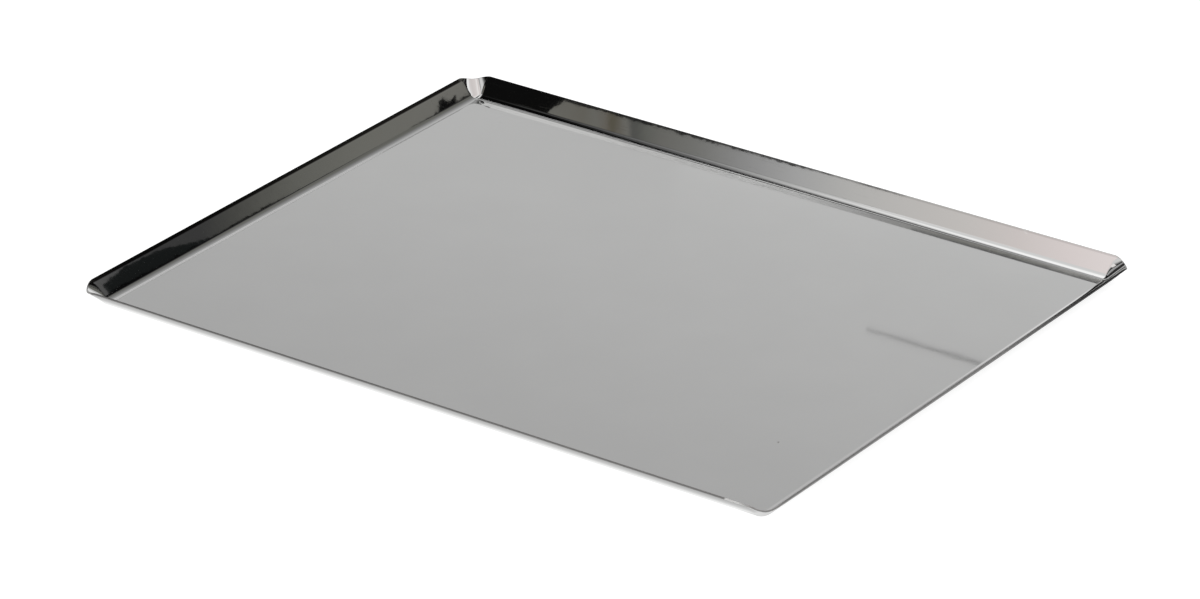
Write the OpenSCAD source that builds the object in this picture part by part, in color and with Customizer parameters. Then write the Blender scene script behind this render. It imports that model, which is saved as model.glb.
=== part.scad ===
// Cookie sheet: one sheet of stainless steel, pressed up on all four sides.
// The floor is flat. The wall leans outwards at one slope all the way round,
// and each corner is the same wall swept round a quarter turn, so it is a
// piece of a cone. The rim is the sheet's own cut edge with its arrises broken.
// The origin is the middle of the underside. X runs along the long side and
// Z points up. All sizes are in millimetres.

/* [Size over the rim] */
// Length over the rim
sheet_length = 400; // [300:10:600]
// Width over the rim
sheet_width = 320; // [200:10:450]
// Height of the rim over the table
sheet_height = 10; // [8:0.5:15]

/* [Steel] */
// Thickness of the sheet steel
steel_thick = 1; // [0.8:0.1:1.5]
// Size of the bevel that breaks each arris of the cut rim
arris_bevel = 0.2; // [0.1:0.05:0.3]

/* [Wall] */
// Slope of the wall over the level of the floor, in degrees
wall_slope = 45; // [40:1:75]
// Inside radius of the bend between the floor and the wall
bend_radius = 6; // [2:0.5:6.5]
// Radius of the floor's four corners in plan, inside the bend
floor_corner_radius = 2; // [1:0.5:20]

/* [Hidden] */
// Steps of a full turn at the corners
$fn = 96;
// Short steps that draw the bend in the section
bend_steps = 12;

// Radius of the bend on the underside
outer_bend_radius = bend_radius + steel_thick;
// How far the bend reaches outwards and up on the underside
bend_reach = outer_bend_radius * sin(wall_slope);
bend_rise = outer_bend_radius * (1 - cos(wall_slope));
// What the bevels take off the rim's highest and outermost lines
bevel_loss = arris_bevel * min(sin(wall_slope), cos(wall_slope));
// Length of the wall's flat, up its slope, that brings the rim to its height
flat_rise = sheet_height - bend_rise - steel_thick * cos(wall_slope) + bevel_loss;
flat_length = flat_rise / sin(wall_slope);
// Distance in plan from the edge of the level floor to the rim
wall_reach = bend_reach + flat_length * cos(wall_slope) - bevel_loss;

// Radius of the rim's corners in plan
rim_corner_radius = floor_corner_radius + wall_reach;
// From the middle of the sheet to the centres that the corners turn about
half_straight_length = sheet_length / 2 - rim_corner_radius;
half_straight_width = sheet_width / 2 - rim_corner_radius;

// Point on one side of the bend, where the steel has reached this slope
function on_bend(radius, slope) = [
    floor_corner_radius + radius * sin(slope),
    outer_bend_radius - radius * cos(slope)
];

// Point on one side of the wall's flat, this far up its slope
function on_wall(run, radius) =
    on_bend(radius, wall_slope) + run * [cos(wall_slope), sin(wall_slope)];

// One side of the bend as short steps, from the floor to the wall
function bend_side(radius) = [
    for (step = [0:bend_steps]) on_bend(radius, wall_slope * step / bend_steps)
];

// The whole section, with a corner's centre at x = 0 and the table at y = 0
module edge_section() {
    inner_side = bend_side(bend_radius);
    polygon(concat(
        [[0, 0]],
        bend_side(outer_bend_radius),
        [
            on_wall(flat_length - arris_bevel, outer_bend_radius),
            on_wall(flat_length, outer_bend_radius - arris_bevel),
            on_wall(flat_length, bend_radius + arris_bevel),
            on_wall(flat_length - arris_bevel, bend_radius)
        ],
        [for (step = [bend_steps:-1:0]) inner_side[step]],
        [[0, steel_thick]]
    ));
}

// Straight edge that faces +X and runs from y = 0 to y = run_length
module straight_edge(run_length) {
    translate([0, run_length, 0])
        rotate([90, 0, 0])
            linear_extrude(height = run_length)
                edge_section();
}

// Corner swept a quarter turn, from facing +X to facing +Y
module corner_edge() {
    rotate_extrude(angle = 90)
        edge_section();
}

// The quarter of the sheet at +X and +Y: its stretches meet face to face
module quarter_sheet() {
    cube([half_straight_length, half_straight_width, steel_thick]);
    translate([half_straight_length, 0, 0])
        straight_edge(half_straight_width);
    mirror([1, -1, 0])
        translate([half_straight_width, 0, 0])
            straight_edge(half_straight_length);
    translate([half_straight_length, half_straight_width, 0])
        corner_edge();
}

// The pressed sheet is one solid, the same on both sides of each middle line
module cookie_sheet() {
    color([0.72, 0.72, 0.72])
        union() {
            for (left = [0, 1], front = [0, 1])
                mirror([left, 0, 0])
                    mirror([0, front, 0])
                        quarter_sheet();
        }
}

cookie_sheet();
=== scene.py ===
# %% [markdown]
# # A pressed cookie sheet, polished to a mirror
#
# The real object is one sheet of stainless steel. A press turns up its four edges into a
# low wall that leans outwards, the rim is cut to size and deburred, and a buffing wheel
# brings the whole to a mirror. Nothing is joined to it, so the model is one piece too.
#
# A mirror has hardly any colour of its own: what we see on it is the room. So this lesson
# has two halves. The first builds the steel, with its bends and arrises as real curves.
# The second builds the room that the steel shows.

# %% Load the frame
import math

import bmesh
import bpy
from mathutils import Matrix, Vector


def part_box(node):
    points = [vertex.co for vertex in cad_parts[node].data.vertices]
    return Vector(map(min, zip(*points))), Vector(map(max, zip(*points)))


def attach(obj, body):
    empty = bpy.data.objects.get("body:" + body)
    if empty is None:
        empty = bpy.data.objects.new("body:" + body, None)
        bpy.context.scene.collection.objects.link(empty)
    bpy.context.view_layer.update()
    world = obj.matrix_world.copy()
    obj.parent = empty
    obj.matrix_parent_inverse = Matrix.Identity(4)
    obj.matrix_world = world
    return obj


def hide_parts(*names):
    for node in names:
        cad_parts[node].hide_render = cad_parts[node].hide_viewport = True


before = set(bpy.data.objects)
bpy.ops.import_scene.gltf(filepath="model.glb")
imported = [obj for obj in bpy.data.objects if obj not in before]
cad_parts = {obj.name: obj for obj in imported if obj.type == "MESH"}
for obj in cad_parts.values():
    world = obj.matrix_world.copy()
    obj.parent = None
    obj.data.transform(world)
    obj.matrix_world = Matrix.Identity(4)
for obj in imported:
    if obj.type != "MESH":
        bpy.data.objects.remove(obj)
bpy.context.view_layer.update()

# %% [markdown]
# ## The camera
#
# The four lines of the rim are enough to find the camera, because the real corners are
# square and level. The sheet is seen from far off through a long lens, so its sides look
# almost parallel. We could turn the camera by hand until it looks right, but a direction,
# a distance and a focal length that were solved from the rim need no guessing.

# %% Place the camera
MM = 0.001
camera_azimuth = math.radians(35.322)
camera_elevation = math.radians(25.679)
camera_distance = 2787.7 * MM
camera_target = Vector((0.77 * MM, -8.43 * MM, 0.0))
focal_length_mm = 173.904
film_width_mm = 36.0

to_camera = Vector((
    math.sin(camera_azimuth) * math.cos(camera_elevation),
    -math.cos(camera_azimuth) * math.cos(camera_elevation),
    math.sin(camera_elevation),
))
camera_data = bpy.data.cameras.new("camera")
camera_data.sensor_fit = "HORIZONTAL"
camera_data.sensor_width = film_width_mm
camera_data.lens = focal_length_mm
camera = bpy.data.objects.new("camera", camera_data)
camera.location = camera_target + camera_distance * to_camera
camera.rotation_mode = "QUATERNION"
camera.rotation_quaternion = (-to_camera).to_track_quat("-Z", "Y")
bpy.context.scene.collection.objects.link(camera)
bpy.context.scene.camera = camera
bpy.context.scene.view_settings.view_transform = "Standard"
print("The camera stands at", tuple(round(value, 3) for value in camera.location))

# %% [markdown]
# ## The sizes of the sheet
#
# The length, width and height come from the frame, so the dressed sheet always fits the
# solid one. The steel's thickness, the slope of the wall and the radii are the press
# tool's own sizes. The solid model breaks each arris of the rim with a small flat bevel.
# Here it is rounded instead, with the radius that takes off just as much of the corner.
# The floor's corners are a little sharper than the solid's, since a mirror shows the foot
# of a corner clearly.

# %% Sizes of the sheet
sheet_low, sheet_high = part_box("cookie_sheet")
rim_height = sheet_high.z - sheet_low.z
steel_thick = 1.0 * MM
wall_slope = math.radians(45.0)
inner_bend_radius = 6.0 * MM
outer_bend_radius = inner_bend_radius + steel_thick
floor_corner_radius = 0.5 * MM
arris_bevel = 0.2 * MM
arris_radius = arris_bevel * (1.0 + math.sqrt(0.5))

# The wall's flat, up its slope, that brings the rounded rim to its height
arris_rise = arris_radius * (1.0 - math.cos(wall_slope))
bend_rise = outer_bend_radius - inner_bend_radius * math.cos(wall_slope)
flat_rise = rim_height - bend_rise - arris_rise
flat_length = flat_rise / math.sin(wall_slope) + arris_radius
print("The wall's flat is", round(flat_length / MM, 2), "mm long")

# How far the rim moves outwards and upwards at the middle of each corner
corner_spring = Vector((-0.12 * MM, -2.0 * MM))

# %% [markdown]
# ## The section through the edge
#
# Cut the sheet across one edge and the same outline appears everywhere: floor, bend, wall,
# rounded rim, and back down the outside. It could be drawn with a few straight steps and
# smoothed by the shader, but on a mirror every step shows as a kink in the reflection. So
# each point also carries the exact direction that the steel faces there. All round parts
# are arcs, and one helper makes an arc from the directions that it faces at its two ends.

# %% Helper for an arc of the section
RIGHT_ANGLE = math.radians(90.0)


def facing(angle):
    """The unit vector, outwards and upwards, of steel that faces this way."""
    return Vector((math.cos(angle), math.sin(angle)))


def arc(centre, radius, first, last, steps):
    """Points of an arc and the way that each faces; a hollow arc has a negative radius."""
    points = []
    for step in range(steps + 1):
        angle = first + (last - first) * step / steps
        points.append((centre + radius * facing(angle), angle))
    return points


half_way = arc(Vector((0.0, 0.0)), 1.0, 0.0, RIGHT_ANGLE, 2)[1][0]
print("A quarter arc of radius 1 has its middle at", tuple(round(part, 3) for part in half_way))

# %% [markdown]
# The press can't shrink the steel enough at the corners, so there it springs back: the rim
# lies lower than along the sides, and the wall is less steep. Where the rim ends up is
# what we see, so the section takes a shift of the rim, and works out the slope from it:
# the wall is the tangent from the rim's lower corner to the circle of the bend.

# %% The section
bend_steps = 20
arris_steps = 8
bend_centre = Vector((floor_corner_radius, outer_bend_radius))
straight_rim = bend_centre + flat_length * facing(wall_slope)
straight_rim -= outer_bend_radius * facing(wall_slope + RIGHT_ANGLE)


def edge_section(rim_shift):
    """The outline across the edge with its rim moved, as (point, facing) pairs."""
    reach = straight_rim + rim_shift - bend_centre
    flat = math.sqrt(reach.length_squared - outer_bend_radius ** 2)
    slope = math.atan2(reach.y, reach.x) + math.atan2(outer_bend_radius, flat)
    wall_facing = RIGHT_ANGLE + slope
    arris_start = bend_centre + (flat - arris_radius) * facing(slope)
    inner_arris = arris_start - (inner_bend_radius + arris_radius) * facing(wall_facing)
    outer_arris = arris_start - (outer_bend_radius - arris_radius) * facing(wall_facing)
    outline = [(Vector((0.0, steel_thick)), RIGHT_ANGLE)]
    outline += arc(bend_centre, -inner_bend_radius, RIGHT_ANGLE, wall_facing, bend_steps)
    outline += arc(inner_arris, arris_radius, wall_facing, slope, arris_steps)
    outline += arc(outer_arris, arris_radius, slope, slope - RIGHT_ANGLE, arris_steps)
    outline += arc(bend_centre, outer_bend_radius, slope - RIGHT_ANGLE, -RIGHT_ANGLE, bend_steps)
    outline += [(Vector((0.0, 0.0)), -RIGHT_ANGLE)]
    return outline


section = edge_section(Vector((0.0, 0.0)))
rim_corner_radius = max(point.x for point, angle in section)
half_straight_x = sheet_high.x - rim_corner_radius
half_straight_y = sheet_high.y - rim_corner_radius
rim_radius_mm = round(rim_corner_radius / MM, 2)
print("The section has", len(section), "points, and the rim's corner is", rim_radius_mm, "mm")

# %% [markdown]
# ## Sweeping the section round the sheet
#
# The section travels round the sheet, anticlockwise as seen from above. Along a side it
# slides, and at a corner it swings a quarter turn about the corner's own centre, which
# gives the piece of a cone that a press tool makes there. A curve with a bevel object
# could do the sweep, but it would twist the faces at the corners and know nothing of the
# directions that the steel faces. Two short loops keep both under control.

# %% Stations round the sheet
corner_steps = 32
steps_along_x = 40
steps_along_y = 32

# In the order in which the section reaches them, anticlockwise from +X and +Y
corner_centres = [
    Vector((half_straight_x, half_straight_y)),
    Vector((-half_straight_x, half_straight_y)),
    Vector((-half_straight_x, -half_straight_y)),
    Vector((half_straight_x, -half_straight_y)),
]


def stations():
    """Every stop of the section, as its side, its share of the slide and of the turn."""
    stops = []
    for side in range(len(corner_centres)):
        side_steps = steps_along_x if side % 2 else steps_along_y
        stops += [(side, step / side_steps, 0.0) for step in range(side_steps)]
        stops += [(side, 1.0, step / corner_steps) for step in range(corner_steps)]
    return stops


def stand_section(side, slide, turn):
    """The section at one stop: each point's place and the way that its line runs."""
    centre = corner_centres[side - 1].lerp(corner_centres[side], slide).to_3d()
    heading = (side + turn) * RIGHT_ANGLE
    outwards = Vector((math.cos(heading), math.sin(heading), 0.0))
    upwards = Vector((0.0, 0.0, 1.0))
    spring = math.sin(math.pi * turn) ** 2
    stood = []
    for point, angle in edge_section(spring * corner_spring):
        line = facing(angle - RIGHT_ANGLE)
        place = centre + point.x * outwards + point.y * upwards
        stood.append((place, line.x * outwards + line.y * upwards))
    return stood


print("The section stops at", len(stations()), "places on its way round")

# %% [markdown]
# Each stop of the section becomes a row of vertices, and neighbouring rows are joined by
# four-sided faces. The exact direction that the steel faces is square to the section's
# line and to the way that the point travels, so each stop is also looked at a nudge
# before and a nudge after. The floor inside the sweep is a plain grid, above and below,
# whose lines meet the rows one to one. Merging the doubled vertices then closes the skin.

# %% Helpers for the skin
merge_distance = 0.1 * MM * MM
nudge = 0.001


def add_vertex(skin, place, normal):
    """A vertex that remembers which way the steel faces there."""
    vertex = skin.verts.new(place)
    vertex[skin.verts.layers.float_vector["facing"]] = normal
    return vertex


def add_row(skin, side, slide, turn):
    """One copy of the section, standing at a station."""
    slide_nudge = 0.0 if turn else nudge
    turn_nudge = nudge if turn else 0.0
    before = stand_section(side, slide - slide_nudge, turn - turn_nudge)
    after = stand_section(side, slide + slide_nudge, turn + turn_nudge)
    row = []
    for number, (place, line) in enumerate(stand_section(side, slide, turn)):
        travel = after[number][0] - before[number][0]
        normal = line.cross(travel.normalized())
        if travel.length < merge_distance:
            normal = Vector((0.0, 0.0, 1.0 if number == 0 else -1.0))
        row.append(add_vertex(skin, place, normal.normalized()))
    return row


def add_floor(skin, level, upwards):
    """The grid between the four corner centres, at one level."""
    grid = []
    for step_y in range(steps_along_y + 1):
        y = half_straight_y * (2.0 * step_y / steps_along_y - 1.0)
        row = []
        for step_x in range(steps_along_x + 1):
            x = half_straight_x * (2.0 * step_x / steps_along_x - 1.0)
            row.append(add_vertex(skin, (x, y, level), (0.0, 0.0, upwards)))
        grid.append(row)
    for near, far in zip(grid, grid[1:]):
        for step in range(steps_along_x):
            skin.faces.new((near[step], near[step + 1], far[step + 1], far[step]))


print("Vertices within", round(merge_distance / MM, 5), "mm of each other will be merged")

# %% Build the skin of the sheet
EDGE_SLOT = 1
skin = bmesh.new()
skin.verts.layers.float_vector.new("facing")
rows = [add_row(skin, *stop) for stop in stations()]
first_edge_face = 1 + bend_steps + 1 + arris_steps // 2
last_edge_face = first_edge_face + arris_steps + 1
for here, there in zip(rows, rows[1:] + rows[:1]):
    for step in range(len(section) - 1):
        face = skin.faces.new((here[step], there[step], there[step + 1], here[step + 1]))
        if first_edge_face <= step < last_edge_face:
            face.material_index = EDGE_SLOT
add_floor(skin, steel_thick, 1.0)
add_floor(skin, 0.0, -1.0)
bmesh.ops.remove_doubles(skin, verts=skin.verts, dist=merge_distance)
bmesh.ops.recalc_face_normals(skin, faces=skin.faces)
print("The skin has", len(skin.verts), "vertices and", len(skin.faces), "faces")

# %% [markdown]
# The faces are shaded smooth with the directions that the section gave, so a bend of
# twenty steps reflects like a true curve and the flats stay perfectly flat.

# %% Turn the skin into the dressed sheet
sheet_mesh = bpy.data.meshes.new("pressed_sheet")
skin.to_mesh(sheet_mesh)
skin.free()
sheet_mesh.shade_smooth()
exact_normals = [tuple(item.vector) for item in sheet_mesh.attributes["facing"].data]
sheet_mesh.normals_split_custom_set_from_vertices(exact_normals)
sheet_mesh.attributes.remove(sheet_mesh.attributes["facing"])
pressed_sheet = bpy.data.objects.new("pressed_sheet", sheet_mesh)
bpy.context.scene.collection.objects.link(pressed_sheet)
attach(pressed_sheet, "root")
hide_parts("cookie_sheet")
print("The pressed sheet rides on the root body in place of the solid one")

# %% [markdown]
# ## Helpers for the materials
#
# Both finishes are small node trees, so a few helpers keep them readable. The first two add
# a node with its sockets set, and a sum. The next two carry a value from one range to
# another, and make noise at a real scale. The last two mix colours and start a material.
# The texture coordinates are the object's own, in metres, so a noise scale of 1000 means
# a pattern about a millimetre across.

# %% Helpers for nodes
def add_node(tree, kind, sockets=(), **settings):
    """A new node, with its settings, and with values or links on its sockets."""
    node = tree.nodes.new(kind)
    for name, value in settings.items():
        setattr(node, name, value)
    for name, value in dict(sockets).items():
        if isinstance(value, bpy.types.NodeSocket):
            tree.links.new(value, node.inputs[name])
        else:
            node.inputs[name].default_value = value
    return node


def add_math(tree, operation, first, second=0.0):
    """One sum on two values or links."""
    node = add_node(tree, "ShaderNodeMath", {0: first, 1: second}, operation=operation)
    return node.outputs[0]


print("Two helpers add nodes and sums to a tree")

# %% Helpers for patterns
def add_range(tree, value, from_min, from_max, to_min, to_max):
    """A value carried from one range to another, and held at its ends."""
    sockets = {
        "Value": value,
        "From Min": from_min,
        "From Max": from_max,
        "To Min": to_min,
        "To Max": to_max,
    }
    return add_node(tree, "ShaderNodeMapRange", sockets).outputs["Result"]


def add_noise(tree, place, stretch, detail=2.0, turn=0.0):
    """Noise whose features are about one metre over the stretch, along each axis."""
    sockets = {"Vector": place, "Scale": stretch, "Rotation": (0.0, 0.0, turn)}
    mapping = add_node(tree, "ShaderNodeMapping", sockets)
    sockets = {"Vector": mapping.outputs[0], "Scale": 1.0, "Detail": detail}
    return add_node(tree, "ShaderNodeTexNoise", sockets).outputs[0]


print("Two more map values and make noise")

# %% Helpers for colours and materials
def add_mix(tree, share, first, second, blend="MIX"):
    """A colour between two colours, or the blend of them."""
    sockets = {"Factor": share, "A": first, "B": second}
    node = add_node(tree, "ShaderNodeMix", data_type="RGBA", blend_type=blend)
    for name, value in sockets.items():
        socket = [item for item in node.inputs if item.name == name and item.enabled][0]
        if isinstance(value, bpy.types.NodeSocket):
            tree.links.new(value, socket)
        else:
            socket.default_value = value
    return [item for item in node.outputs if item.enabled][0]


def new_material(name):
    """A material with an empty principled shader, its tree and its place in metres."""
    material = bpy.data.materials.new(name)
    material.use_nodes = True
    tree = material.node_tree
    shader = tree.nodes["Principled BSDF"]
    place = add_node(tree, "ShaderNodeTexCoord").outputs["Object"]
    return material, tree, shader, place


print("Two more mix colours and start a material")

# %% [markdown]
# ## The polished steel
#
# Buffing leaves a mirror that is not quite perfect. Close up it has a very fine grain in
# the direction of the rolling, hairline scratches from the washing-up, a faint cloudiness
# and a few specks of dust. All of it is weak: the roughness stays low, and the bump only
# turns the reflection by a fraction of a degree. Just under the rim a narrow band is
# painted nearly black and made a little rougher: a painted dark reflection line. It is
# widest along the left side, and hardly there along the back.

# %% Wear and marks on the polish
dust_cells_per_metre = 45.0


def hairline_scratches(tree, place):
    """Fine scratches that run in three directions."""
    scratches = 0.0
    for turn in (0.35, -0.2, 1.3):
        streak = add_noise(tree, place, (30.0, 3000.0, 3000.0), detail=1.0, turn=turn)
        hairline = add_range(tree, streak, 0.72, 0.8, 0.0, 1.0)
        scratches = add_math(tree, "MAXIMUM", hairline, scratches)
    return scratches


def dust_specks(tree, place):
    """Small round specks, one in some of the cells of a coarse pattern."""
    sockets = {"Vector": place, "Scale": dust_cells_per_metre}
    cells = add_node(tree, "ShaderNodeTexVoronoi", sockets)
    chosen = add_node(tree, "ShaderNodeSeparateColor", {"Color": cells.outputs["Color"]})
    speck_size = add_range(tree, chosen.outputs["Red"], 0.6, 1.0, 0.0, 0.022)
    return add_math(tree, "LESS_THAN", cells.outputs["Distance"], speck_size)


def painted_dark_band(tree, places):
    """A painted dark reflection line just under the rim, widest at the left."""
    band_foot = rim_height - 0.9 * MM
    band_top = rim_height - 0.55 * MM
    wider_at_left = add_range(tree, places["X"], -0.19, -0.188, 0.55 * MM, 0.0)
    height = add_math(tree, "ADD", places["Z"], wider_at_left)
    band = add_range(tree, height, band_foot, band_top, 0.0, 1.0)
    weaker_at_back = add_range(tree, places["Y"], 0.146, 0.15, 1.0, 0.2)
    return add_math(tree, "MULTIPLY", band, weaker_at_back)


print("A cell of the dust pattern is", round(1000.0 / dust_cells_per_metre), "mm wide")

# %% [markdown]
# The bends come out of the press stretched and smooth. The flat floor isn't stretched, so
# it stays a shade duller than the walls, and the roughness has to tell the two apart.

# %% Polished steel
def polished_steel():
    """Stainless steel off the buffing wheel, with grain, scratches and dust."""
    material, tree, shader, place = new_material("polished_steel")

    grain = add_noise(tree, place, (150.0, 5000.0, 5000.0), detail=3.0)
    clouds = add_noise(tree, place, (25.0, 25.0, 25.0), detail=4.0)
    scratches = hairline_scratches(tree, place)
    speck = dust_specks(tree, place)
    places = add_node(tree, "ShaderNodeSeparateXYZ", {"Vector": place}).outputs
    dark_band_share = painted_dark_band(tree, places)

    bright = (0.74, 0.74, 0.735, 1.0)
    cloudy = (0.70, 0.70, 0.695, 1.0)
    dusty = (0.25, 0.24, 0.23, 1.0)
    # The near-black colour below is painted: the dark reflection line under the rim.
    painted_dark = (0.05, 0.048, 0.046, 1.0)
    colour = add_mix(tree, clouds, cloudy, bright)
    colour = add_mix(tree, dark_band_share, colour, painted_dark)
    colour = add_mix(tree, speck, colour, dusty)
    tree.links.new(colour, shader.inputs["Base Color"])

    roughness = add_range(tree, grain, 0.3, 0.7, 0.01, 0.025)
    roughness = add_math(tree, "ADD", roughness, add_math(tree, "MULTIPLY", scratches, 0.08))
    roughness = add_math(tree, "ADD", roughness, add_math(tree, "MULTIPLY", dark_band_share, 0.05))
    roughness = add_math(tree, "ADD", roughness, add_math(tree, "MULTIPLY", speck, 0.4))
    unstretched = add_range(tree, places["Z"], 1.1 * steel_thick, 2.0 * steel_thick, 0.04, 0.0)
    roughness = add_math(tree, "ADD", roughness, unstretched)
    tree.links.new(roughness, shader.inputs["Roughness"])

    waves = {"Height": clouds, "Distance": 0.03 * MM}
    buffed = add_node(tree, "ShaderNodeBump", waves)
    lines = {"Height": grain, "Distance": 0.0001 * MM, "Normal": buffed.outputs[0]}
    grained = add_node(tree, "ShaderNodeBump", lines)
    tree.links.new(grained.outputs[0], shader.inputs["Normal"])
    shader.inputs["Metallic"].default_value = 1.0
    return material


sheet_mesh.materials.append(polished_steel())
print("Polished steel:", len(sheet_mesh.materials[0].node_tree.nodes), "nodes")

# %% [markdown]
# ## The cut edge
#
# The rim is the sheet's own edge, sheared and then run over an abrasive belt. It is never
# polished, so it shows as a darker, satin line round the bright sheet. The belt leaves
# fine marks along the edge, and the shear leaves coarser ones across it. Towards the right
# corner the edge is darkened nearly to black, and near the front corner it carries a
# painted highlight.

# %% Darker end and painted highlight on the cut edge
darkening_start_y = 0.035
darkening_full_y = 0.115


def darker_right_end(tree, places):
    """How dark the edge is: it darkens along the right side, towards the back."""
    right_side = add_range(tree, places["X"], 0.185, 0.195, 0.0, 1.0)
    towards_back = add_range(tree, places["Y"], darkening_start_y, darkening_full_y, 0.0, 0.95)
    return add_math(tree, "MULTIPLY", right_side, towards_back)


def painted_glint(tree, places):
    """A painted highlight on the front side that starts sharply and fades to the right."""
    front = add_range(tree, places["Y"], -0.156, -0.154, 1.0, 0.0)
    start = add_range(tree, places["X"], 0.1755, 0.1765, 0.0, 1.0)
    fade = add_range(tree, places["X"], 0.183, 0.191, 1.0, 0.0)
    return add_math(tree, "MULTIPLY", front, add_math(tree, "MULTIPLY", start, fade))


darkening_length_mm = round((darkening_full_y - darkening_start_y) / MM)
print("The stain deepens over", darkening_length_mm, "mm of the right side")

# %% Ground edge
def ground_edge():
    """The sheared and belt-ground edge of the steel."""
    material, tree, shader, place = new_material("ground_edge")
    belt_marks = add_noise(tree, place, (900.0, 900.0, 9000.0), detail=3.0)
    shear_marks = add_noise(tree, place, (2500.0, 2500.0, 300.0), detail=2.0)
    places = add_node(tree, "ShaderNodeSeparateXYZ", {"Vector": place}).outputs

    dark_satin = (0.24, 0.235, 0.23, 1.0)
    light_satin = (0.36, 0.355, 0.35, 1.0)
    # Along the right side, towards the back, the edge is darkened nearly to black.
    darkening = (0.01, 0.01, 0.01, 1.0)
    # A painted highlight: a small glint on the edge near the front corner.
    glint_white = (0.95, 0.95, 0.94, 1.0)
    colour = add_mix(tree, shear_marks, dark_satin, light_satin)
    colour = add_mix(tree, darker_right_end(tree, places), colour, darkening)
    colour = add_mix(tree, painted_glint(tree, places), colour, glint_white)
    tree.links.new(colour, shader.inputs["Base Color"])

    roughness = add_range(tree, belt_marks, 0.3, 0.7, 0.26, 0.4)
    tree.links.new(roughness, shader.inputs["Roughness"])
    marks = add_node(tree, "ShaderNodeBump", {"Height": belt_marks, "Distance": 0.01 * MM})
    tree.links.new(marks.outputs[0], shader.inputs["Normal"])
    shader.inputs["Metallic"].default_value = 1.0
    return material


sheet_mesh.materials.append(ground_edge())
print("Ground edge:", len(sheet_mesh.materials[EDGE_SLOT].node_tree.nodes), "nodes")

# %% [markdown]
# ## The floor of the studio
#
# The sheet lies on a white table that is lit until it has no end. The floor is part
# diffuse, which keeps the sheet's soft shadow, and part glow, which lifts it to white
# where the camera or the steel looks at it. Its underside lets the eye through, so the
# sheet can also be looked at from below.

# %% White floor
floor_half_size = 30.0
floor_level = -0.1 * MM
floor_glow = 0.85
floor_paint = (0.4, 0.4, 0.4, 1.0)


def glow_when_seen(tree, strength):
    """A strength that only camera, glossy and transmission rays meet."""
    path = add_node(tree, "ShaderNodeLightPath").outputs
    seen = add_math(tree, "MAXIMUM", path["Is Camera Ray"], path["Is Glossy Ray"])
    seen = add_math(tree, "MAXIMUM", seen, path["Is Transmission Ray"])
    return add_math(tree, "MULTIPLY", seen, strength)


def white_floor():
    """White from above, clear from below."""
    material = bpy.data.materials.new("white_floor")
    material.use_nodes = True
    tree = material.node_tree
    tree.nodes.clear()
    paint = add_node(tree, "ShaderNodeBsdfDiffuse", {"Color": floor_paint})
    glow = add_node(tree, "ShaderNodeEmission", {"Strength": glow_when_seen(tree, floor_glow)})
    top = add_node(tree, "ShaderNodeAddShader", {0: paint.outputs[0], 1: glow.outputs[0]})
    below = add_node(tree, "ShaderNodeNewGeometry").outputs["Backfacing"]
    clear = add_node(tree, "ShaderNodeBsdfTransparent")
    sides = {0: below, 1: top.outputs[0], 2: clear.outputs[0]}
    both = add_node(tree, "ShaderNodeMixShader", sides)
    add_node(tree, "ShaderNodeOutputMaterial", {"Surface": both.outputs[0]})
    return material


def flat_plane(name, half_x, half_y, material):
    """A flat four-sided plane about its own middle."""
    mesh = bpy.data.meshes.new(name)
    near = [(-half_x, -half_y, 0.0), (half_x, -half_y, 0.0)]
    far = [(half_x, half_y, 0.0), (-half_x, half_y, 0.0)]
    mesh.from_pydata(near + far, [], [(0, 1, 2, 3)])
    mesh.materials.append(material)
    plane = bpy.data.objects.new(name, mesh)
    bpy.context.scene.collection.objects.link(plane)
    return plane


floor = flat_plane("floor", floor_half_size, floor_half_size, white_floor())
floor.location.z = floor_level
print("The floor lies", -floor_level / MM, "mm under the sheet, clear of it")

# %% [markdown]
# ## What the steel sees
#
# In the studio, boards and cards hang round the sheet just out of the picture, and the
# steel is a map of them. A board's glow changes along a direction, given as places on that
# direction with a brightness at each. Where a board has two such ramps, the darker one
# wins, like one shadow over another.

# %% Helpers for the glow of a board
BRIGHTEST = 2.0


def add_ramp(tree, place, direction, stops):
    """A colour that changes along a direction: stops are (metres, colour or brightness)."""
    sockets = {0: place, 1: direction}
    metres = add_node(tree, "ShaderNodeVectorMath", sockets, operation="DOT_PRODUCT")
    low = stops[0][0]
    high = stops[-1][0]
    share = add_range(tree, metres.outputs["Value"], low, high, 0.0, 1.0)
    ramp = add_node(tree, "ShaderNodeValToRGB", {"Fac": share})
    elements = ramp.color_ramp.elements
    elements.remove(elements[1])
    for number, (stop, glow) in enumerate(stops):
        position = (stop - low) / (high - low)
        element = elements[0] if number == 0 else elements.new(position)
        element.position = position
        colour = glow if isinstance(glow, tuple) else (glow, glow, glow)
        element.color = (*(part / BRIGHTEST for part in colour), 1.0)
    return ramp.outputs["Color"]


def board_glow(name, ramps):
    """A glow with one ramp, or the darker of two."""
    material = bpy.data.materials.new(name)
    material.use_nodes = True
    tree = material.node_tree
    tree.nodes.clear()
    place = add_node(tree, "ShaderNodeTexCoord").outputs["Object"]
    colour = add_ramp(tree, place, *ramps[0])
    for direction, stops in ramps[1:]:
        colour = add_mix(tree, 1.0, colour, add_ramp(tree, place, direction, stops), "DARKEN")
    glow = add_node(tree, "ShaderNodeEmission", {"Color": colour, "Strength": BRIGHTEST})
    add_node(tree, "ShaderNodeOutputMaterial", {"Surface": glow.outputs[0]})
    return material


print("The brightest place on a board may reach", BRIGHTEST)

# %% [markdown]
# A board could be an area light, but a light is a rectangle or an ellipse of one colour,
# and it would brighten the table too. So each board is a flat mesh that glows. Only the
# steel sees it: it lights nothing, and the camera never meets it. Its corners are real
# places in the room, in metres.

# %% Helpers to hang a board
ALONG_X = (1.0, 0.0, 0.0)
ALONG_Y = (0.0, 1.0, 0.0)
UPWARDS = (0.0, 0.0, 1.0)


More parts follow.
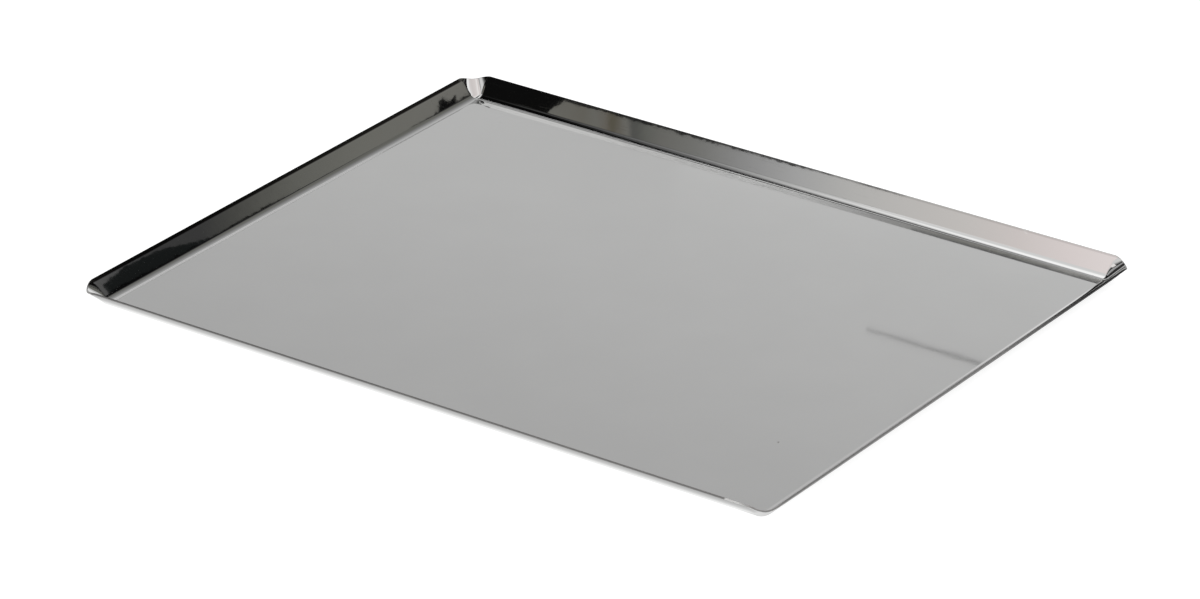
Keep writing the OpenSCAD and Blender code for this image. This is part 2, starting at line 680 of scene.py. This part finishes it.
def hang_board(name, corners, *ramps):
    """A flat board with its corners at these places, that only the steel sees."""
    mesh = bpy.data.meshes.new(name)
    mesh.from_pydata(corners, [], [tuple(range(len(corners)))])
    mesh.materials.append(board_glow(name, ramps))
    board = bpy.data.objects.new(name, mesh)
    bpy.context.scene.collection.objects.link(board)
    board.visible_camera = False
    board.visible_diffuse = False
    board.visible_transmission = False
    board.visible_volume_scatter = False
    board.visible_shadow = False
    return board


def level(height, *corners):
    """Corners of a level board, from their x and y."""
    return [(x, y, height) for x, y in corners]


def plain(glow):
    """A ramp that is the same all over."""
    return ALONG_X, [(0.0, glow), (1.0, glow)]


print("A board hangs level, or stands, with one ramp or two")

# %% [markdown]
# ### The back panel
#
# The level floor of the sheet turns the camera's view up and away, to a low grey panel that
# stands behind the sheet, to the left. The panel is lit from below, so it is lighter low
# down, and its left end stands in shade. That gives the floor its even grey, a shade
# lighter towards the back of the sheet.

# %% Back panel
back_panel_corners = [(-3.0, 1.5, 0.0), (0.05, 1.5, 0.0), (0.05, 1.5, 1.1), (-3.0, 1.5, 1.1)]
back_panel_stops = [(0.0, 1.2), (0.5, 1.0), (0.757, 0.624), (1.007, 0.522), (1.1, 0.5)]
left_end_shade = [(-1.0, 0.60), (-0.92, 0.74), (-0.84, 0.92), (-0.7, 1.1)]
back_panel_ramps = [(UPWARDS, back_panel_stops), (ALONG_X, left_end_shade)]
hang_board("back_panel", back_panel_corners, *back_panel_ramps)
print("The back panel stands 1.5 m behind the sheet")

# %% [markdown]
# ### The cards for the back wall
#
# The flat of the back wall looks up to the left, at a long card that hangs low. The card is
# dark at its far end, with two brown streaks, and grows bright and a little pink towards
# the sheet. A black card covers the far end, and its slanting edge is the sharp line
# across the wall. A thin black card draws the dark line under the rim. Each of them hangs a
# millimetre or two under the card that it covers, so that it is the one that is seen.

# %% The long card for the back wall
card_height = 0.6
wall_card_stops = [
    (-0.575, (0.185, 0.182, 0.165)),
    (-0.55, (0.165, 0.158, 0.138)),
    (-0.54, (0.178, 0.176, 0.16)),
    (-0.531, (0.165, 0.153, 0.133)),
    (-0.527, (0.115, 0.105, 0.078)),
    (-0.521, (0.15, 0.14, 0.12)),
    (-0.515, (0.19, 0.187, 0.172)),
    (-0.51, (0.102, 0.103, 0.097)),
    (-0.50, (0.145, 0.148, 0.135)),
    (-0.488, (0.182, 0.18, 0.168)),
    (-0.46, (0.225, 0.225, 0.215)),
    (-0.42, 0.35),
    (-0.38, 0.49),
    (-0.34, (0.60, 0.592, 0.58)),
    (-0.26, (0.72, 0.69, 0.67)),
    (-0.22, (0.79, 0.73, 0.715)),
    (-0.18, (0.91, 0.83, 0.82)),
    (-0.14, (0.99, 0.91, 0.90)),
]
wall_card_corners = level(
    card_height,
    (-0.75, -0.3),
    (-0.12, -0.3),
    (-0.12, -0.15),
    (-0.75, -0.15),
)
hang_board("wall_card", wall_card_corners, (ALONG_X, wall_card_stops))
print("The long card hangs", card_height, "m over the left of the sheet")

# %% [markdown]
# The foot of the back wall is seen twice, for the floor mirrors the wall. There the dark
# line under the rim comes back, towards the right end. A narrow card that hangs very low,
# just behind the sheet, draws it: the lower a card hangs, the less the cloudiness of the
# steel blurs its edge. It has a price: the level floor mirrors this card as well, as a
# short dark streak towards the right side of the sheet. Without the card both are gone.

# %% Dark cards for the back wall
rim_line_height = 0.599
rim_line_corners = level(
    rim_line_height,
    (-0.9, -0.1612),
    (-0.5, -0.1612),
    (-0.3, -0.159),
    (-0.3, -0.15),
    (-0.9, -0.15),
)
hang_board("rim_line_card", rim_line_corners, plain(0.012))

mirrored_line_height = 0.1
mirrored_line_stops = [(0.015, 0.25), (0.042, 0.13), (0.08, 0.015), (0.13, 0.015)]
mirrored_line_corners = level(
    mirrored_line_height,
    (0.015, 0.2073),
    (0.145, 0.2073),
    (0.145, 0.2095),
    (0.015, 0.2095),
)
hang_board("mirrored_line_card", mirrored_line_corners, (ALONG_X, mirrored_line_stops))

black_card_height = 0.598
black_card_corners = level(
    black_card_height,
    (-0.9, -0.3),
    (-0.729, -0.3),
    (-0.55, -0.15),
    (-0.9, -0.15),
)
hang_board("black_card", black_card_corners, plain(0.005))
print("Three dark cards finish the back wall")

# %% [markdown]
# ### The boards over the sheet
#
# The bends sweep their view across everything that hangs high over the sheet. The bend
# under the back wall sees two boards, one behind the other, that are black on the left and
# white on the right.

# %% Boards for the bend under the back wall
board_height = 2.4
slanting = (1.0, -0.107, 0.0)
bend_board_stops = [
    (-1.79, 0.003),
    (-1.74, 0.015),
    (-1.69, 0.05),
    (-1.61, 0.12),
    (-1.51, 0.25),
    (-1.41, 0.50),
    (-1.31, 0.72),
    (-1.19, 0.95),
    (-1.04, 1.2),
]
bend_board_cap = [(-1.2, 0.8), (-0.3, 0.85)]
bend_board_corners = level(board_height, (-3.5, -1.3), (-0.93, -1.3), (-0.93, -0.3), (-3.5, -0.3))
bend_board_ramps = [(slanting, bend_board_stops), (ALONG_Y, bend_board_cap)]
hang_board("bend_board", bend_board_corners, *bend_board_ramps)

less_slanting = (1.0, -0.05, 0.0)
crease_board_stops = [
    (-1.68, 0.003),
    (-1.62, 0.02),
    (-1.56, 0.10),
    (-1.50, 0.17),
    (-1.45, 0.30),
    (-1.38, 0.62),
    (-1.30, 0.95),
    (-1.20, 1.3),
]
crease_board_cap = [
    (-0.3, 0.85),
    (0.0, 0.88),
    (0.3, 1.2),
    (1.5, 1.3),
    (1.9, 0.5),
    (2.05, 0.35),
]
crease_board_corners = level(board_height, (-3.5, -0.3), (-0.93, -0.3), (-0.93, 2.05), (-3.5, 2.05))
crease_board_ramps = [(less_slanting, crease_board_stops), (ALONG_Y, crease_board_cap)]
hang_board("crease_board", crease_board_corners, *crease_board_ramps)
print("Two boards hang", board_height, "m high for the bend under the back wall")

# %% [markdown]
# The floor mirrors the back wall once more, and that second view meets the ceiling along
# one narrow line only. A strip along this line is light on the left and dark on the right,
# the other way round from the boards. The left wall and its bend look up to the right, at
# a warm grey board with a black corner.

# %% The strip and the warm board
strip_height = 2.395
strip_stops = [
    (-1.66, 1.14),
    (-1.56, 1.08),
    (-1.46, 0.62),
    (-1.36, (0.33, 0.325, 0.30)),
    (-1.28, (0.33, 0.325, 0.30)),
    (-1.2, (0.39, 0.385, 0.365)),
]
strip_corners = level(strip_height, (-4.5, 1.437), (-0.93, 1.437), (-0.93, 1.481), (-4.5, 1.481))
hang_board("turning_strip", strip_corners, (ALONG_X, strip_stops))

warm_board_stops = [
    (-3.6, 0.62),
    (-2.0, 0.56),
    (-1.6, 0.50),
    (-1.2, 0.42),
    (-0.8, 0.33),
    (-0.4, 0.265),
    (0.0, (0.20, 0.20, 0.19)),
    (0.6, (0.16, 0.16, 0.146)),
    (1.6, (0.155, 0.155, 0.14)),
]
across = (-0.67, 0.74, 0.0)
black_corner_stops = [
    (1.10, 0.003),
    (1.16, 0.012),
    (1.20, 0.025),
    (1.27, 0.05),
    (1.33, 0.09),
    (1.42, 1.0),
]
warm_board_corners = level(board_height, (-4.5, 2.05), (1.75, 2.05), (1.75, 4.5), (-4.5, 4.5))
warm_board_ramps = [(ALONG_X, warm_board_stops), (across, black_corner_stops)]
hang_board("warm_board", warm_board_corners, *warm_board_ramps)
print("The strip hangs", round((board_height - strip_height) / MM), "mm under the boards")

# %% [markdown]
# ### The cards for the left wall
#
# The flat of the left wall sees only a narrow strip of the room, so it has a card of its
# own, dark near one end. Four black cards hang low in front of it: a shape near the left
# tip, a small mark at the far end, and a wedge along the foot of the wall under each.

# %% The long card for the left wall
small_card_height = 2.39
wall_strip_stops = [
    (2.50, 0.17),
    (2.58, 0.12),
    (2.65, 0.093),
    (2.70, 0.055),
    (2.80, 0.053),
    (2.866, (0.08, 0.08, 0.074)),
    (2.913, (0.105, 0.105, 0.096)),
    (2.96, (0.137, 0.137, 0.124)),
    (3.01, (0.158, 0.158, 0.143)),
    (3.11, (0.188, 0.187, 0.169)),
    (3.30, (0.20, 0.196, 0.18)),
]
wall_strip_corners = level(small_card_height, (1.507, 2.4), (1.75, 2.4), (1.75, 3.6), (1.507, 3.6))
hang_board("wall_strip", wall_strip_corners, (ALONG_Y, wall_strip_stops))
print("One long card serves the left wall")

# %% Black cards near the left tip
wedge_height = 0.598
shape_corners = level(
    card_height,
    (0.2479, 0.551),
    (0.2373, 0.5425),
    (0.2314, 0.5663),
    (0.2332, 0.5734),
    (0.233, 0.5921),
    (0.2358, 0.6146),
    (0.2395, 0.6294),
    (0.2457, 0.6594),
    (0.254, 0.67),
    (0.254, 0.548),
)
hang_board("black_shape", shape_corners, plain((0.011, 0.0125, 0.0125)))
wedge_corners = level(
    wedge_height,
    (0.2435, 0.548),
    (0.2433, 0.707),
    (0.2440, 0.745),
    (0.2446, 0.775),
    (0.2456, 0.81),
    (0.256, 0.81),
    (0.256, 0.548),
)
hang_board("black_wedge", wedge_corners, plain(0.003))
print("Two black cards darken the left tip")

# %% Black cards at the far end of the left wall
mark_corners = level(
    card_height,
    (0.256, 0.9087),
    (0.2435, 0.91),
    (0.237, 0.912),
    (0.2345, 0.9147),
    (0.2363, 0.9174),
    (0.2395, 0.9207),
    (0.2409, 0.9237),
    (0.2405, 0.9267),
    (0.2392, 0.9297),
    (0.24, 0.9319),
    (0.2435, 0.9322),
    (0.256, 0.9322),
)
hang_board("black_mark", mark_corners, plain(0.006))
far_wedge_corners = level(
    wedge_height,
    (0.256, 0.85),
    (0.2456, 0.85),
    (0.2444, 0.88),
    (0.2436, 0.90),
    (0.2432, 0.91),
    (0.2432, 0.945),
    (0.256, 0.945),
)
hang_board("far_wedge", far_wedge_corners, plain(0.004))
print("Two more darken the far end")

# %% [markdown]
# ### Small cards under the boards
#
# A white card joins the lamp to the boards, so the rounded corner at the back is white from
# side to side. A pink one tints it, a dark one cuts off its side, and a light one clears
# the foot of the corner.

# %% Cards for the back corner
white_card_corners = level(
    small_card_height,
    (-0.4, -0.3),
    (1.45, -0.3),
    (1.5, 2.4),
    (1.28, 2.45),
    (0.9, 2.1),
    (0.5, 1.95),
    (-0.4, 1.9),
)
hang_board("white_card", white_card_corners, plain(1.1))
pink_card_corners = level(
    small_card_height,
    (-0.9, -1.1),
    (-0.3, -1.1),
    (-0.3, -0.36),
    (-0.62, -0.45),
)
hang_board("pink_card", pink_card_corners, plain((0.86, 0.80, 0.79)))
side_card_corners = level(
    small_card_height,
    (-0.92, 0.3),
    (-0.42, 0.3),
    (-0.42, 1.3),
    (-0.92, 1.3),
)
hang_board("side_card", side_card_corners, plain(0.05))

foot_card_height = 2.385
foot_light_corners = level(
    foot_card_height,
    (-1.93, 1.35),
    (-1.78, 1.34),
    (-1.78, 1.53),
    (-1.97, 1.56),
)
hang_board("foot_light_card", foot_light_corners, plain(0.9))
print("Four cards serve the back corner")

# %% [markdown]
# The rounded corner on the right sees a piece of the ceiling that is grey near the boards
# and almost black further off. A white card hangs low beside it.

# %% Cards for the right corner
right_grey_corners = level(
    small_card_height,
    (-1.95, -0.9),
    (-1.9, -0.35),
    (-2.35, -0.1),
    (-2.6, -0.15),
    (-2.75, -0.45),
    (-2.4, -0.9),
)
hang_board("right_grey_card", right_grey_corners, plain(0.42))

right_dark_corners = level(
    small_card_height,
    (-2.42, -0.16),
    (-2.42, 0.2),
    (-4.35, 1.85),
    (-4.5, 1.4),
    (-2.9, -0.2),
)
hang_board("right_dark_card", right_dark_corners, plain(0.035))

right_white_corners = level(
    card_height,
    (-0.212, -0.162),
    (-0.31, -0.075),
    (-0.31, -0.04),
    (-0.212, -0.13),
)
hang_board("right_white_card", right_white_corners, plain((1.0, 0.97, 0.96)))
print("Three cards serve the right corner")

# %% [markdown]
# Two more small cards lie across the view of the bends: a dark one, which draws a thin
# line in the bend of the left wall, and a pale one.

# %% Cards for the bends
line_card_height = 2.38
line_corners = level(line_card_height, (1.0, 2.95), (1.5, 3.17), (1.5, 3.4), (1.0, 3.15))
hang_board("line_card", line_corners, plain(0.03))
pale_corners = level(small_card_height, (-2.12, 2.4), (-1.93, 2.4), (-1.93, 3.6), (-2.12, 3.6))
hang_board("pale_card", pale_corners, plain(1.0))
print("Two cards serve the bends")

# %% [markdown]
# ### The shade under the sheet
#
# The outside of the low wall mirrors the table right under it, where the sheet keeps the
# light away. A grey card just above the table stands for that shade, under the walls of
# the two near sides. It is darker towards the right end of the sheet.

# %% Shade under the sheet
shade_height = -0.05 * MM
towards_right_end = (1.0, 0.5, 0.0)
shade_stops = [(0.10, 1.1), (0.14, 0.35), (0.19, 0.22), (0.22, 0.1), (0.25, 0.03)]
front_shade_stops = [
    (-0.1548, 0.53),
    (-0.1538, 0.57),
    (-0.1529, 0.72),
    (-0.152, 1.0),
    (-0.1515, 1.2),
]

# The card's outer corners lie under the rim, and its inner ones where the flat floor ends
rim_x = 199.0 * MM
rim_y = 159.0 * MM
flat_x = 188.0 * MM
flat_y = 148.0 * MM
shade_corners = level(
    shade_height,
    (-rim_x, -rim_y),
    (rim_x, -rim_y),
    (rim_x, rim_y),
    (flat_x, rim_y),
    (flat_x, -flat_y),
    (-rim_x, -flat_y),
)
shade_ramps = [(towards_right_end, shade_stops), (ALONG_Y, front_shade_stops)]
hang_board("table_shade", shade_corners, *shade_ramps)
print("The shade lies between the sheet and the table")

# %% [markdown]
# ### The lamp and the room
#
# One big soft lamp hangs over the right of the sheet. The rounded corner at the back is
# the only place from which the camera sees it, as a white fan. A thin cloth in front of
# the lamp, a little bigger than it, gives the fan its pink middle.

# %% The lamp
lamp_centre = (0.5, 0.02, 1.4)
lamp_size = (1.5, 2.14)
lamp_brightness = 1.15
lamp_data = bpy.data.lights.new("soft_lamp", "AREA")
lamp_data.shape = "RECTANGLE"
lamp_data.size = lamp_size[0]
lamp_data.size_y = lamp_size[1]
lamp_data.energy = lamp_brightness * math.pi * lamp_size[0] * lamp_size[1]
lamp = bpy.data.objects.new("soft_lamp", lamp_data)
lamp.location = lamp_centre
bpy.context.scene.collection.objects.link(lamp)

print("The lamp gives", round(lamp_data.energy, 1), "W over", lamp_size, "m")

# %% The cloth in front of the lamp
cloth_height = 1.39
cloth_half_x = 0.51 * lamp_size[0]
cloth_half_y = 0.51 * lamp_size[1]
cloth_corners = level(
    cloth_height,
    (lamp_centre[0] - cloth_half_x, lamp_centre[1] - cloth_half_y),
    (lamp_centre[0] + cloth_half_x, lamp_centre[1] - cloth_half_y),
    (lamp_centre[0] + cloth_half_x, lamp_centre[1] + cloth_half_y),
    (lamp_centre[0] - cloth_half_x, lamp_centre[1] + cloth_half_y),
)
cloth_stops = [
    (-0.2, (1.05, 1.02, 1.01)),
    (0.0, (0.88, 0.82, 0.81)),
    (0.4, (0.80, 0.75, 0.74)),
    (0.7, (0.95, 0.92, 0.92)),
    (1.0, 1.15),
]
hang_board("lamp_cloth", cloth_corners, (ALONG_X, cloth_stops))
print("The cloth hangs", round((lamp_centre[2] - cloth_height) / MM), "mm under the lamp")

# %% [markdown]
# The room round everything is a soft grey, a little lighter near the floor.

# %% The room
room = bpy.data.worlds.new("room")
room.use_nodes = True
bpy.context.scene.world = room
room_tree = room.node_tree
direction = add_node(room_tree, "ShaderNodeTexCoord").outputs["Generated"]
steepness = add_node(room_tree, "ShaderNodeSeparateXYZ", {"Vector": direction}).outputs["Z"]
room_brightness = add_range(room_tree, steepness, 0.0, 1.0, 0.6, 0.45)
room_tree.links.new(room_brightness, room_tree.nodes["Background"].inputs["Strength"])
room_tree.nodes["Background"].inputs["Color"].default_value = (1.0, 1.0, 1.0, 1.0)
print("The room is a plain soft grey")
